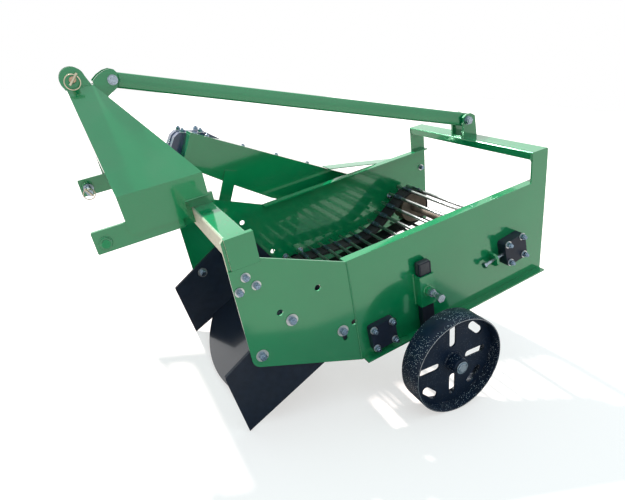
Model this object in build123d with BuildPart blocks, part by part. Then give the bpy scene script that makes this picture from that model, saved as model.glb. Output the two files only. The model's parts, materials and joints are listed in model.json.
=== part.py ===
from build123d import *
import os
from math import acos, asin, atan2, cos, radians, sin, hypot, pi

os.makedirs("parts", exist_ok=True)

# ---- driving dimensions, mm -------------------------------------------------
# u runs forward and v up in the machine's own frame, zero on the cross-beam;
# y runs to the machine's left, zero on the middle of the rod web.

# parked stance: the machine rests on the knife tips and the two wheels
tip = (96.0, -521.0)
wheelHub = (-496.0, -511.0)
wheelRadius = 150.0
lean = hypot(tip[0] - wheelHub[0], tip[1] - wheelHub[1])
pitch = asin(wheelRadius / lean) - atan2(wheelHub[1] - tip[1], tip[0] - wheelHub[0])

# side plates
halfWidth = 300.0
sheet = 5.0
plateOutline = [(40, -51), (-42.5, -51), (-42.5, -42), (-261, -138.6), (-918, -125),
                (-921, -55), (-984, -55), (-977, -198), (-963, -432), (-268, -461), (40, -329)]
foldIn = 28.0
foldOut = 25.0
boltHoles = [(3, -77), (-18, -107), (26, -109)]
boltHoleRadius = 6.5
sightHoles = [(-173, -180), (-60, -206), (-260, -327)]
sightHoleRadius = 9.0
knifeSlot = (-223.0, -350.0)
knifeSlotSize = (46.0, 14.0)
knifeSlotTurn = radians(82)

# beam, tower, hitch; the hitch stands over the right-hand plate
beamHalf = 30.0
beamWall = 5.0
beamTongue = [(-42, 30), (30, 30), (38, 22), (38, -130), (-42, -130)]
tongueThick = 10.0
hitchY = -305.0
barHalf = 320.0
barThick = 10.0
barOutline = (62.3, 295.0, -14.0, 48.0)
sideSheet = 5.0
towerFoot = (-21.0, 207.0)
towerFootV = 120.0
towerHead = (152.0, 224.0)
towerHeadV = 370.0
headHalf = 35.0
towerSheet = 5.0
skirt = [(-21, 120), (-21, 56), (47, 56), (47, 12), (205, 12), (207, 120)]
saddle = [(-36, 56), (62, 56), (62, -14), (30, -14), (30, 30), (-30, 30), (-30, -14), (-36, -14)]
linkPin = (268.0, 12.6)
linkPinRadius = 11.0
linkPinLong = 75.0
topPin = (200.0, 394.0)
topPinRadius = 9.6
topEar = [(156, 370.2), (227, 370.2), (234, 392), (172, 413.5)]
topEarRadius = 34.0
topEarGap = 50.0
strapFront = (98.0, 372.0)
strapRear = (-944.0, 28.0)
strapRearY = -28.0
strapHigh = 44.0
strapWide = 36.0
earGap = (56.0, 48.0)
earThick = 8.0
strapBoltRadius = 8.0
frontEar = [(92, 349), (124.6, 331), (151.2, 369.5), (150, 381), (133, 393), (114, 401), (97, 403),
            (87, 399), (80, 388), (85, 366)]
rearEar = [(-982, -30), (-926, -30), (-926, 40), (-940, 48), (-960, 48), (-977, 37)]
archBox = (-984.0, -921.0, -55.0, -30.0)

# knives and share
knife = [(96, -521), (118, -328), (-150, -178), (-262, -369)]
knifeThick = 10.0
bladeRise = radians(23.0)
shareLong = 372.0
shareArcDrop = 88.0

# web
driveHub = (-825.0, -304.0)
frontHub = (-337.5, -395.5)
driveRadius = 58.0
frontRadius = 38.0
beltThick = 8.0
rodEnd = halfWidth - 30
beltOut = rodEnd - 30
beltIn = beltOut - 60
rodRadius = 6.0
rodPitch = 45.0
rodLead = 11.3
webSlope = radians(34.4)
shaftRadius = 15.0

# flange bearings and the tension screws, square to the line between the two shafts
housingHalf = 41.0
housingRound = 9.0
rearHousing = (32.0, radians(-8.0))
frontHousing = (20.0, radians(-2.5))
bracketAt = 72.0
bracketOutline = [(0, -21), (20, -21), (29, -17), (34, -9), (34, 9), (29, 17), (20, 21), (0, 21)]
bracketThick = 8.0
screwY = 17.0
screwRadius = 5.0
screwLong = 70.0

# legs and wheels
legU = -490.0
legHalf = (20.0, 10.0)
sleeveHalf = (24.6, 15.0)
legY = halfWidth + sleeveHalf[1]
legPlay = 0.3
legTop = -221.0
legFoot = -541.0
sleeve = (-357.0, -260.0)
clampV = -308.0
clampRadius = 8.0
clampHead = (13.0, 10.0)
clampReach = 60.0
rim = (halfWidth + 72, halfWidth + 146)
rimWall = 6.0
discAt = halfWidth + 106
discThick = 6.0
hubRadius = 25.0
spokeSlot = (83.0, 72.0, 22.0)
rimSlot = (115.0, 62.0, 24.0)
slotTurn = 4.5
axleRadius = 12.5
axleCap = 19.0
axleNut = 11.0

# gearbox side
caseIn = -halfWidth - 45
caseOut = caseIn - 55
caseWall = 3.0
caseOutline = [(-92, 160), (-36, 64), (-96, 17), (-186, -51), (-317, -144), (-555, -271), (-806, -352),
               (-848, -352), (-874, -330), (-876, -296), (-852, -264), (-555, -99)]
outputHub = (-130.0, 95.0)
outputRadius = 20.0
inputV = 95.0
inputY = caseOut - 45
inputRadius = 17.4
inputLong = 94.7
gearboxDeep = 90.0
gearboxOutline = [(-22, 62), (-22, 112), (-46, 148), (-64, 158), (-152, 136), (-202, 96), (-202, 62),
                  (-176, 36.3), (-60, 36.3)]
postOutline = [(-100, -135), (-140.5, -150), (-213, -8), (-171, 8)]
postThick = 6.0
postFoot = (-130.0, -115.0)
guardLine = [(-549, -90), (-691, -116), (-883, -153)]
guardThick = 3.0
guardWide = 60.0
guardLip = [(-750, -127.4), (-883, -153), (-883, -175), (-750, -149.4)]

# ---- the frame of the finished object --------------------------------------
foreX = topPin[0] * cos(pitch) + topPin[1] * sin(pitch) + 34
rearX = -963 * cos(pitch) - 432 * sin(pitch)
leftY = rim[1] + axleNut
rightY = hitchY - barHalf - 18
shift = Vector(-(foreX + rearX) / 2, -(leftY + rightY) / 2,
               tip[0] * sin(pitch) - tip[1] * cos(pitch))


def home(u, y, v):
    return Vector(u * cos(pitch) + v * sin(pitch), y, -u * sin(pitch) + v * cos(pitch)) + shift


def way(u, y, v):
    return Vector(u * cos(pitch) + v * sin(pitch), y, -u * sin(pitch) + v * cos(pitch))


def wall(y):
    return Plane(origin=home(0, y, 0), x_dir=way(1, 0, 0), z_dir=Vector(0, -1, 0))


def slab(points, y0, y1, mode=Mode.ADD, rounds=()):
    with BuildSketch(wall(max(y0, y1))) as flat:
        with BuildLine():
            Polyline(*points, close=True)
        make_face()
        for spot, radius in rounds:
            fillet(flat.sketch_local.vertices().sort_by_distance((spot[0], spot[1], 0))[0], radius)
    extrude(flat.sketch, amount=abs(y1 - y0), mode=mode)


def block(u0, u1, v0, v1, y0, y1, mode=Mode.ADD, radius=0):
    corners = [(u0, v0), (u1, v0), (u1, v1), (u0, v1)]
    slab(corners, y0, y1, mode, [(c, radius) for c in corners] if radius else ())


def disc(centre, radius, y0, y1, mode=Mode.ADD, sides=0):
    with BuildSketch(wall(max(y0, y1))) as flat:
        with Locations(centre):
            if sides:
                RegularPolygon(radius, sides)
            else:
                Circle(radius)
    extrude(flat.sketch, amount=abs(y1 - y0), mode=mode)


def bend(centre, radius, angle):
    return centre[0] + radius * cos(angle), centre[1] + radius * sin(angle)


def capsule(centre, long, wide, turn):
    """outline of a round-ended slot, four chords to an end"""
    points = []
    for side in (1, -1):
        end = bend(centre, side * (long - wide) / 2, turn)
        for k in range(5):
            points.append(bend(end, side * wide / 2, turn - pi / 2 + k * pi / 4))
    return points


def square(centre, half, corner, turn):
    """outline of a turned square with rounded corners, three chords to a corner"""
    points = []
    for k in range(4):
        for j in range(4):
            angle = j * pi / 6
            x, z = half - corner + corner * cos(angle), half - corner + corner * sin(angle)
            spin = turn + k * pi / 2
            points.append((centre[0] + x * cos(spin) - z * sin(spin), centre[1] + x * sin(spin) + z * cos(spin)))
    return points


def inset(points, depth):
    """the same outline moved inwards by a wall"""
    area = sum(p[0] * q[1] - q[0] * p[1] for p, q in zip(points, points[1:] + points[:1]))
    side = depth if area > 0 else -depth
    inner = []
    for k, here in enumerate(points):
        before, after = points[k - 1], points[(k + 1) % len(points)]
        a = atan2(here[1] - before[1], here[0] - before[0])
        b = atan2(after[1] - here[1], after[0] - here[0])
        half = (b - a) / 2
        middle = a + half + pi / 2
        reach = side / cos(half)
        inner.append((here[0] + reach * cos(middle), here[1] + reach * sin(middle)))
    return inner


def frustum(low, high, lowV, highV):
    """a four-sided tower between two level rectangles, all its faces flat"""
    ring = []
    for (u0, u1, half), v in ((low, lowV), (high, highV)):
        ring.append([home(u, hitchY + s * half, v) for u, s in ((u0, -1), (u1, -1), (u1, 1), (u0, 1))])
    faces = [ring[0], ring[1]]
    faces += [[ring[0][k], ring[0][(k + 1) % 4], ring[1][(k + 1) % 4], ring[1][k]] for k in range(4)]
    return Solid(Shell([Face(Wire.make_polygon(points, close=True)) for points in faces]))


def keep(piece, name):
    piece.part.label = name
    export_step(piece.part, f"parts/{name}.step")


sides = [("left", 1), ("right", -1)]

# ---- side plates ------------------------------------------------------------
for name, s in sides:
    with BuildPart() as plate:
        slab(plateOutline, s * (halfWidth - sheet), s * halfWidth,
             rounds=[((40, -329), 28), ((-268, -461), 12)])
        slab([(-261, -138.6), (-978, -123.8), (-978, -128.8), (-261, -143.6)],
             s * (halfWidth - foldIn), s * halfWidth)
        slab([(-272, -461), (-956, -432.3), (-956, -427.3), (-272, -456)],
             s * (halfWidth - sheet), s * (halfWidth + foldOut))
        block(legU - legHalf[0] - 8, legU + legHalf[0] + 8, -470, -420,
              s * halfWidth, s * (halfWidth + foldOut + 5), Mode.SUBTRACT)
        for hole in boltHoles:
            disc(hole, boltHoleRadius, s * (halfWidth - 8), s * (halfWidth + 3), Mode.SUBTRACT, 12)
        for hole in sightHoles:
            disc(hole, sightHoleRadius, s * (halfWidth - 8), s * (halfWidth + 3), Mode.SUBTRACT, 16)
        slab(capsule(knifeSlot, knifeSlotSize[0], knifeSlotSize[1], knifeSlotTurn), s * (halfWidth - 8), s * (halfWidth + 3),
             Mode.SUBTRACT)
        for hub in (driveHub, frontHub):
            disc(hub, shaftRadius + 11, s * (halfWidth - 8), s * (halfWidth + 3), Mode.SUBTRACT, 24)
    keep(plate, f"side_plate_{name}")

# ---- cross-beam with its end plates and bolted tongues ----------------------
with BuildPart() as beam:
    block(-beamHalf, beamHalf, -beamHalf, beamHalf, hitchY - barHalf, halfWidth - 1, radius=6)
    for s in (1, -1):
        slab(beamTongue, s * (halfWidth - sheet - tongueThick), s * (halfWidth - sheet),
             rounds=[((38, -130), 15), ((-42, -130), 15)])
        block(-42, 30, -50.7, 30, s * (halfWidth - sheet - 1), s * halfWidth)
    block(-beamHalf + beamWall, beamHalf - beamWall, -beamHalf + beamWall, beamHalf - beamWall,
          hitchY - barHalf - 1, halfWidth - sheet, Mode.SUBTRACT)
keep(beam, "cross_beam")

# ---- arch over the rear -----------------------------------------------------
with BuildPart() as arch:
    block(*archBox, -halfWidth, halfWidth, radius=4)
keep(arch, "arch_beam")

# ---- hitch tower ------------------------------------------------------------
footHalf = barHalf + sideSheet
with BuildPart() as tower:
    add(frustum((towerFoot[0], towerFoot[1], footHalf), (towerHead[0], towerHead[1], headHalf),
                towerFootV, towerHeadV))
    add(frustum((towerFoot[0] + 6, towerFoot[1] - 5.5, footHalf - 6), (towerHead[0] + 4, towerHead[1] - 5, headHalf - 4),
                towerFootV - 1, towerHeadV - towerSheet), mode=Mode.SUBTRACT)
    for s in (1, -1):
        slab(skirt, hitchY + s * barHalf, hitchY + s * footHalf, rounds=[((205, 12), 14), ((47, 56), 8)])
        slab(saddle, hitchY + s * (barHalf - barThick), hitchY + s * (barHalf - 2 * barThick))
        block(44, barOutline[0], 12, 60, hitchY + s * (barHalf - 12), hitchY + s * (barHalf + 1))
        block(-21, 46, 56, 62, hitchY + s * (barHalf - 20), hitchY + s * (barHalf + 2))
keep(tower, "hitch_tower")

for name, s in sides:
    with BuildPart() as bar:
        block(*barOutline, hitchY + s * (barHalf - barThick), hitchY + s * barHalf, radius=4)
        disc(linkPin, linkPinRadius + 0.3, hitchY + s * (barHalf - 20), hitchY + s * (barHalf + 10), Mode.SUBTRACT)
    keep(bar, f"hitch_bar_{name}")
    with BuildPart() as pin:
        disc(linkPin, linkPinRadius, hitchY + s * (barHalf - barThick - linkPinLong), hitchY + s * (barHalf + 14))
        disc(linkPin, 18, hitchY + s * (barHalf - 18), hitchY + s * (barHalf - barThick - 0.3), sides=16)
        disc(linkPin, 15, hitchY + s * (barHalf + 0.3), hitchY + s * (barHalf + 8), sides=16)
    keep(pin, f"lower_pin_{name}")

# ---- ears and the tie strap -------------------------------------------------
with BuildPart() as ears:
    for s in (1, -1):
        y0, y1 = hitchY + s * topEarGap / 2, hitchY + s * (topEarGap / 2 + earThick)
        slab(topEar, y0, y1)
        disc(topPin, topEarRadius, y0, y1, sides=32)
        disc(topPin, topPinRadius, y0 - 5 * s, y1 + 7 * s, Mode.SUBTRACT)
    block(140, 250, 340, 370.2, hitchY - 40, hitchY + 40, Mode.SUBTRACT)
    block(172, 214, 370.2, 376, hitchY - topEarGap / 2 - 1, hitchY + topEarGap / 2 + 1)
keep(ears, "top_link_ears")

for name, centre, y, gap, outline, foot in (
        ("front", strapFront, hitchY, earGap[0], frontEar, (126, 151.2, 371, 379)),
        ("rear", strapRear, strapRearY, earGap[1], rearEar, (-982, -926, -30, -24))):
    with BuildPart() as ears:
        for s in (1, -1):
            y0, y1 = y + s * gap / 2, y + s * (gap / 2 + earThick)
            slab(outline, y0, y1)
            disc(centre, strapBoltRadius + 0.3, y0 - 5 * s, y1 + 5 * s, Mode.SUBTRACT, 16)
        block(*foot, y - gap / 2 - 1, y + gap / 2 + 1)
    keep(ears, f"strap_ears_{name}")
    with BuildPart() as bolt:
        disc(centre, strapBoltRadius, y - gap / 2 - earThick - 14, y + gap / 2 + earThick + 14, sides=16)
        for s in (1, -1):
            face = gap / 2 + earThick
            disc(centre, 14.5, y + s * (face + 0.3), y + s * (face + 3), sides=20)
            disc(centre, 13, y + s * (face + 2), y + s * (face + 12), sides=6)
    keep(bolt, f"strap_bolt_{name}")

a = home(strapFront[0], hitchY, strapFront[1])
b = home(strapRear[0], strapRearY, strapRear[1])
along = (b - a).normalized()
across = along.cross(Vector(0, -1, 0)).normalized()
strapPlane = Plane(origin=a, x_dir=along, z_dir=across.cross(along).normalized())
reach = (b - a).length
with BuildPart() as strap:
    with BuildSketch(strapPlane.offset(-strapWide / 2)):
        with Locations((reach / 2, 0)):
            Rectangle(reach + 36, strapHigh)
    extrude(amount=strapWide)
    fillet(strap.edges().filter_by(lambda e: abs(e.tangent_at(0.5).dot(along)) > 0.99), 4)
    with BuildSketch(strapPlane.offset(-strapWide / 2 + 4)):
        with Locations((reach / 2, 0)):
            Rectangle(reach + 50, strapHigh - 8)
    extrude(amount=strapWide - 8, mode=Mode.SUBTRACT)
    disc(strapFront, strapBoltRadius + 0.3, hitchY - 40, hitchY + 40, Mode.SUBTRACT, 16)
    disc(strapRear, strapBoltRadius + 0.3, strapRearY - 40, strapRearY + 40, Mode.SUBTRACT, 16)
keep(strap, "tie_strap")

# ---- knives and share -------------------------------------------------------
for name, s in sides:
    with BuildPart() as blade:
        slab(knife, s * (halfWidth - sheet - knifeThick), s * (halfWidth - sheet),
             rounds=[((118, -328), 8), ((-150, -178), 20), ((-262, -369), 10)])
    keep(blade, f"knife_{name}")

bladeEdge = way(-cos(bladeRise), 0, sin(bladeRise))
bladeUp = way(sin(bladeRise), 0, cos(bladeRise))
shareHalf = halfWidth - sheet - knifeThick - 0.3
with BuildPart() as share:
    with BuildSketch(Plane(origin=home(tip[0], 0, tip[1]), x_dir=bladeEdge, z_dir=bladeUp)):
        with BuildLine():
            ThreePointArc((shareArcDrop, -shareHalf), (0, 0), (shareArcDrop, shareHalf))
            Polyline((shareArcDrop, shareHalf), (shareLong, shareHalf), (shareLong, -shareHalf),
                     (shareArcDrop, -shareHalf))
        make_face()
    extrude(amount=10)
keep(share, "share")

# ---- flange bearings, tension brackets and their screws ---------------------
tension = rearHousing[1]


def across_screw(distance, y):
    u, v = bend(driveHub, distance, tension)
    return Plane(origin=home(u, y, v), x_dir=Vector(0, 1, 0), z_dir=way(cos(tension), 0, sin(tension)))


for name, s in sides:
    for level_name, hub, (thick, turn) in (("front", frontHub, frontHousing), ("rear", driveHub, rearHousing)):
        with BuildPart() as housing:
            slab(square(hub, housingHalf, housingRound, turn), s * halfWidth, s * (halfWidth + thick))
            through = level_name == "rear" and s < 0
            disc(hub, shaftRadius + 0.3, s * (halfWidth - 1), s * (halfWidth + (thick + 1 if through else 16)),
                 Mode.SUBTRACT)
        keep(housing, f"bearing_{level_name}_{name}")
    with BuildPart() as bracket:
        with BuildSketch(across_screw(bracketAt, s * halfWidth)):
            with BuildLine():
                Polyline(*[(s * x, z) for x, z in bracketOutline], close=True)
            make_face()
        extrude(amount=bracketThick)
        with BuildSketch(across_screw(bracketAt - 2, s * (halfWidth + screwY))):
            RegularPolygon(screwRadius + 0.3, 12)
        extrude(amount=bracketThick + 4, mode=Mode.SUBTRACT)
    keep(bracket, f"tensioner_{name}")
    with BuildPart() as screw:
        with BuildSketch(across_screw(housingHalf + 0.3, s * (halfWidth + screwY))):
            RegularPolygon(screwRadius, 12)
        extrude(amount=screwLong)
        for start, long in ((bracketAt - 8.3, 8), (housingHalf + 0.3 + screwLong - 1, 7)):
            with BuildSketch(across_screw(start, s * (halfWidth + screwY))):
                RegularPolygon(10, 6)
            extrude(amount=long)
    keep(screw, f"tensioner_bolt_{name}")

# ---- shafts -----------------------------------------------------------------
with BuildPart() as drive:
    disc(driveHub, shaftRadius, caseOut + 6, halfWidth + 15)
    for s in (1, -1):
        disc(driveHub, driveRadius - 0.3, s * beltIn, s * beltOut, sides=40)
keep(drive, "drive_shaft")
with BuildPart() as front:
    disc(frontHub, shaftRadius, -halfWidth - 15, halfWidth + 15)
    for s in (1, -1):
        disc(frontHub, frontRadius - 0.3, s * beltIn, s * beltOut, sides=32)
keep(front, "front_roller")

# ---- rod web: two belts round the drive and front wheels, rods across -------
sagRadius = 200.0
sagEnd = radians(2)
lead = pi / 2 - webSlope
span = hypot(driveHub[0] - frontHub[0], driveHub[1] - frontHub[1])
under = atan2(driveHub[1] - frontHub[1], driveHub[0] - frontHub[0]) + acos((frontRadius - driveRadius) / span)


def course(off):
    """closed path of the web at a distance outside the wheels"""
    rd, rf = driveRadius + off, frontRadius + off
    # the upper run leaves the drive wheels down the slope, bends in the sag, and rises on to the front wheels;
    # the lower run is the outer tangent of both wheels
    start = bend(driveHub, driveRadius, lead)
    normal = (-sin(sagEnd), cos(sagEnd))
    gap = (normal[0] * (frontHub[0] - start[0]) + normal[1] * (frontHub[1] - start[1]) + frontRadius
           - sagRadius * (cos(webSlope + sagEnd) - 1))
    knee = bend(start, gap / -sin(webSlope + sagEnd), -webSlope)
    centre = bend(knee, sagRadius, lead)
    with BuildLine() as path:
        ThreePointArc(bend(driveHub, rd, under), bend(driveHub, rd, radians(180)), bend(driveHub, rd, lead))
        Line(bend(driveHub, rd, lead), bend(centre, sagRadius - off, lead + pi))
        ThreePointArc(bend(centre, sagRadius - off, lead + pi),
                      bend(centre, sagRadius - off, -pi / 2 - webSlope / 2 + sagEnd / 2),
                      bend(centre, sagRadius - off, -pi / 2 + sagEnd))
        Line(bend(centre, sagRadius - off, -pi / 2 + sagEnd), bend(frontHub, rf, pi / 2 + sagEnd))
        ThreePointArc(bend(frontHub, rf, pi / 2 + sagEnd), bend(frontHub, rf, 0), bend(frontHub, rf, under))
        Line(bend(frontHub, rf, under), bend(driveHub, rd, under))
    return path


with BuildPart() as web:
    for s in (1, -1):
        with BuildSketch(wall(beltOut if s > 0 else -beltIn)):
            make_face(course(beltThick).edges())
            make_face(course(0).edges(), mode=Mode.SUBTRACT)
        extrude(amount=beltOut - beltIn)
    track = course(beltThick + 1).wire()
    count = round(track.length / rodPitch)
    first = (under - lead) * (driveRadius + beltThick + 1) + rodLead
    spots = [track.position_at((first / track.length + k / count) % 1) for k in range(count)]
    with BuildSketch(wall(rodEnd)):
        with Locations(*[(spot.X, spot.Y) for spot in spots]):
            RegularPolygon(rodRadius, 8)
    extrude(amount=2 * rodEnd)
keep(web, "rod_web")

# ---- legs, sleeves, wheels --------------------------------------------------
sleeveOut = halfWidth + 2 * sleeveHalf[1]
for name, s in sides:
    with BuildPart() as guide:
        block(legU - sleeveHalf[0], legU + sleeveHalf[0], sleeve[0], sleeve[1], s * halfWidth, s * sleeveOut)
        block(legU - legHalf[0] - legPlay, legU + legHalf[0] + legPlay, sleeve[0] - 1, sleeve[1] + 1,
              s * (legY - legHalf[1] - legPlay), s * (legY + legHalf[1] + legPlay), Mode.SUBTRACT)
        disc((legU, clampV), clampHead[0], s * (sleeveOut - 1), s * (sleeveOut + 12), sides=6)
        disc((legU, clampV), clampRadius + 0.3, s * (legY + 5), s * (sleeveOut + 15), Mode.SUBTRACT, 16)
    keep(guide, f"leg_sleeve_{name}")
    with BuildPart() as clamp:
        reachOut = sleeveOut + clampReach
        disc((legU, clampV), clampRadius, s * (legY + legHalf[1] + 0.4), s * reachOut, sides=16)
        disc((legU, clampV), clampHead[0], s * (reachOut - clampHead[1]), s * reachOut, sides=6)
        disc((legU, clampV), clampHead[0], s * (sleeveOut + 12.3), s * (sleeveOut + 22), sides=6)
    keep(clamp, f"clamp_bolt_{name}")
    with BuildPart() as leg:
        block(legU - legHalf[0], legU + legHalf[0], legFoot, legTop, s * (legY - legHalf[1]), s * (legY + legHalf[1]),
              radius=3)
        disc(wheelHub, 20, s * (legY + legHalf[1] - 0.5), s * (rim[0] - 6), sides=24)
        disc(wheelHub, axleRadius, s * (legY + legHalf[1] - 1), s * (rim[1] + 6))
        disc(wheelHub, axleCap, s * (rim[1] + 5), s * (rim[1] + 8), sides=24)
        disc(wheelHub, 11, s * (rim[1] + 7), s * (rim[1] + axleNut), sides=16)
    keep(leg, f"leg_{name}")
    with BuildPart() as wheel:
        disc(wheelHub, wheelRadius, s * rim[0], s * rim[1], sides=56)
        disc(wheelHub, wheelRadius - rimWall, s * (rim[0] - 1), s * (rim[1] + 1), Mode.SUBTRACT, 56)
        disc(wheelHub, wheelRadius - rimWall + 2, s * discAt, s * (discAt + discThick), sides=56)
        disc(wheelHub, hubRadius, s * (rim[0] - 4), s * (rim[1] + 3), sides=24)
        for k in range(4):
            turn = radians(k * 90 + slotTurn)
            for (reach, long, wide), lean in ((spokeSlot, 0), (rimSlot, pi / 4)):
                slab(capsule(bend(wheelHub, reach, turn + lean), long, wide, turn + lean * 3),
                     s * (discAt - 5), s * (discAt + 11), Mode.SUBTRACT)
        disc(wheelHub, axleRadius + 0.05, s * (rim[0] - 12), s * (rim[1] + 14), Mode.SUBTRACT)
    keep(wheel, f"wheel_{name}")

# ---- drive side: chain case, gearbox ---------------------------------------
with BuildPart() as case:
    slab(caseOutline, caseIn, caseOut)
    slab(inset(caseOutline, 4), caseIn - caseWall, caseOut - 1, Mode.SUBTRACT)
    disc(driveHub, shaftRadius + 0.3, caseIn + 1, caseIn - caseWall - 1, Mode.SUBTRACT)
keep(case, "chain_case")
with BuildPart() as lid:
    slab(caseOutline, caseOut, caseOut - caseWall)
    disc(outputHub, outputRadius + 0.3, caseOut + 1, caseOut - caseWall - 1, Mode.SUBTRACT, 32)
keep(lid, "chain_cover")


def ahead(u):
    return Plane(origin=home(u, inputY, inputV), x_dir=Vector(0, 1, 0), z_dir=way(1, 0, 0))


gearboxIn, gearboxOut = caseOut - caseWall - 0.3, caseOut - gearboxDeep
with BuildPart() as gears:
    slab(gearboxOutline, gearboxIn, gearboxOut)
    disc(outputHub, outputRadius, gearboxIn - 1, caseOut + 20, sides=32)
    with BuildSketch(ahead(-34)):
        Circle(inputRadius + 5.6)
    extrude(amount=22)
    with BuildSketch(ahead(-30)):
        Circle(14.3)
    extrude(amount=30, mode=Mode.SUBTRACT)
keep(gears, "gearbox")
with BuildPart() as stub:
    with BuildSketch(ahead(-29.5)):
        Circle(14)
    extrude(amount=30)
    with BuildSketch(ahead(-11.7)):
        Circle(inputRadius)
    extrude(amount=inputLong)
keep(stub, "input_shaft")
with BuildPart() as mount:
    block(-190, -30.2, 28, 36, gearboxOut, gearboxIn - 0.7)
    slab([(-30.2, 29), (-30.2, -28), (-70, 0), (-150, 29)], inputY - 6, inputY + 2)
keep(mount, "gearbox_mount")

# ---- guards on the chain side ----------------------------------------------
with BuildPart() as post:
    slab(postOutline, caseIn + 0.3, caseIn + 0.3 + postThick)
    disc(postFoot, 14, -halfWidth, caseIn + 5, sides=16)
keep(post, "guard_post")
with BuildPart() as guard:
    under_line = [(u, v - guardThick) for u, v in reversed(guardLine)]
    slab(guardLine + under_line, -halfWidth, -halfWidth - guardWide)
    slab(guardLip, -halfWidth, -halfWidth - guardThick)
keep(guard, "rear_guard")
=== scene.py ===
import bpy
import bmesh
import json
from math import acos, atan2, cos, hypot, pi, radians, sin
from mathutils import Euler, Matrix, Vector


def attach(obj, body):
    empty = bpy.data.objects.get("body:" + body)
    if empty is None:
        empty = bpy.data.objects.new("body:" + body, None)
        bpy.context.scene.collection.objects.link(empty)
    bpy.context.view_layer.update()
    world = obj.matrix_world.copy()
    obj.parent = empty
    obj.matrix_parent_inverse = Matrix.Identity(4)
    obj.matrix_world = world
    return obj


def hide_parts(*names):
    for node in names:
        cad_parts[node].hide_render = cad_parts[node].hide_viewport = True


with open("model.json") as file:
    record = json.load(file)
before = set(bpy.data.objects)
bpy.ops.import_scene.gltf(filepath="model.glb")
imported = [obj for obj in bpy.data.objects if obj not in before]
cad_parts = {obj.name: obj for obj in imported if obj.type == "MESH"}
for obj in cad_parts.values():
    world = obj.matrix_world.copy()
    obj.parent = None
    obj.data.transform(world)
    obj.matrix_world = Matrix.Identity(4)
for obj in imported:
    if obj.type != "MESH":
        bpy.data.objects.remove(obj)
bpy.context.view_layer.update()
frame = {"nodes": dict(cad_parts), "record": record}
nodes = frame["nodes"]
scene = bpy.context.scene
print("frame loaded:", len(nodes), "nodes")

# The machine's own square frame, in mm: u forward and v up from the cross-beam, y to the left from the web.
stance = {"pitch": 0.23924336, "shift": (0.358136, 0.093, 0.52891)}
body = {"half": 300, "sheet": 5, "nutFace": 15, "hitchY": -305, "barHalf": 320}
sides = (("left", 1), ("right", -1))
across = Vector((0, 1, 0))


def home(u, y, v):
    c, s = cos(stance["pitch"]), sin(stance["pitch"])
    x0, y0, z0 = stance["shift"]
    return Vector(((u * c + v * s) / 1000 + x0, y / 1000 + y0, (-u * s + v * c) / 1000 + z0))


def way(u, y, v):
    c, s = cos(stance["pitch"]), sin(stance["pitch"])
    return Vector((u * c + v * s, y, -u * s + v * c))


def bend(centre, radius, angle):
    return centre[0] + radius * cos(angle), centre[1] + radius * sin(angle)


def circle(centre, radius, steps=48):
    return [bend(centre, radius, k * 2 * pi / steps) for k in range(steps)]


def capsule(centre, long, wide, turn, steps=10):
    points = []
    for side in (1, -1):
        end = bend(centre, side * (long - wide) / 2, turn)
        points += [bend(end, side * wide / 2, turn - pi / 2 + k * pi / steps) for k in range(steps + 1)]
    return points


def lineAt(y, points):
    return [home(u, y, v) for u, v in points]


def ringAt(y, centre, radius, steps):
    ring = lineAt(y, circle(centre, radius, steps))
    return ring + ring[:1]


# Shader groups: a film of dust, the grain of sprayed paint, and bright specks.
def newGroup(name, inputs, outputs):
    tree = bpy.data.node_groups.new(name, "ShaderNodeTree")
    for label, kind, value in inputs:
        tree.interface.new_socket(name=label, in_out="INPUT", socket_type=kind).default_value = value
    for label, kind in outputs:
        tree.interface.new_socket(name=label, in_out="OUTPUT", socket_type=kind)
    return tree, tree.nodes.new("NodeGroupInput"), tree.nodes.new("NodeGroupOutput")


def feed(tree, value, socket):
    if hasattr(value, "is_output"):
        tree.links.new(value, socket)
    else:
        socket.default_value = value


def mixColour(tree, factor, a, b):
    node = tree.nodes.new("ShaderNodeMix")
    node.data_type = "RGBA"
    for socket, value in ((node.inputs[0], factor), (node.inputs[6], a), (node.inputs[7], b)):
        feed(tree, value, socket)
    return node.outputs[2]


def maths(tree, operation, a, b=0.0):
    node = tree.nodes.new("ShaderNodeMath")
    node.operation = operation
    feed(tree, a, node.inputs[0])
    feed(tree, b, node.inputs[1])
    return node.outputs[0]


def ramp(tree, value, low, high, toLow=0.0, toHigh=1.0):
    node = tree.nodes.new("ShaderNodeMapRange")
    labels = ("Value", "From Min", "From Max", "To Min", "To Max")
    for label, amount in zip(labels, (value, low, high, toLow, toHigh)):
        feed(tree, amount, node.inputs[label])
    return node.outputs[0]


def noise(tree, scale, detail):
    coord = tree.nodes.new("ShaderNodeTexCoord")
    node = tree.nodes.new("ShaderNodeTexNoise")
    tree.links.new(coord.outputs["Object"], node.inputs["Vector"])
    feed(tree, scale, node.inputs["Scale"])
    node.inputs["Detail"].default_value = detail
    return node.outputs["Fac"]


def facing(tree, direction):
    geometry = tree.nodes.new("ShaderNodeNewGeometry")
    dot = tree.nodes.new("ShaderNodeVectorMath")
    dot.operation = "DOT_PRODUCT"
    tree.links.new(geometry.outputs["Normal"], dot.inputs[0])
    feed(tree, direction, dot.inputs[1])
    return dot.outputs["Value"]


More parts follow.
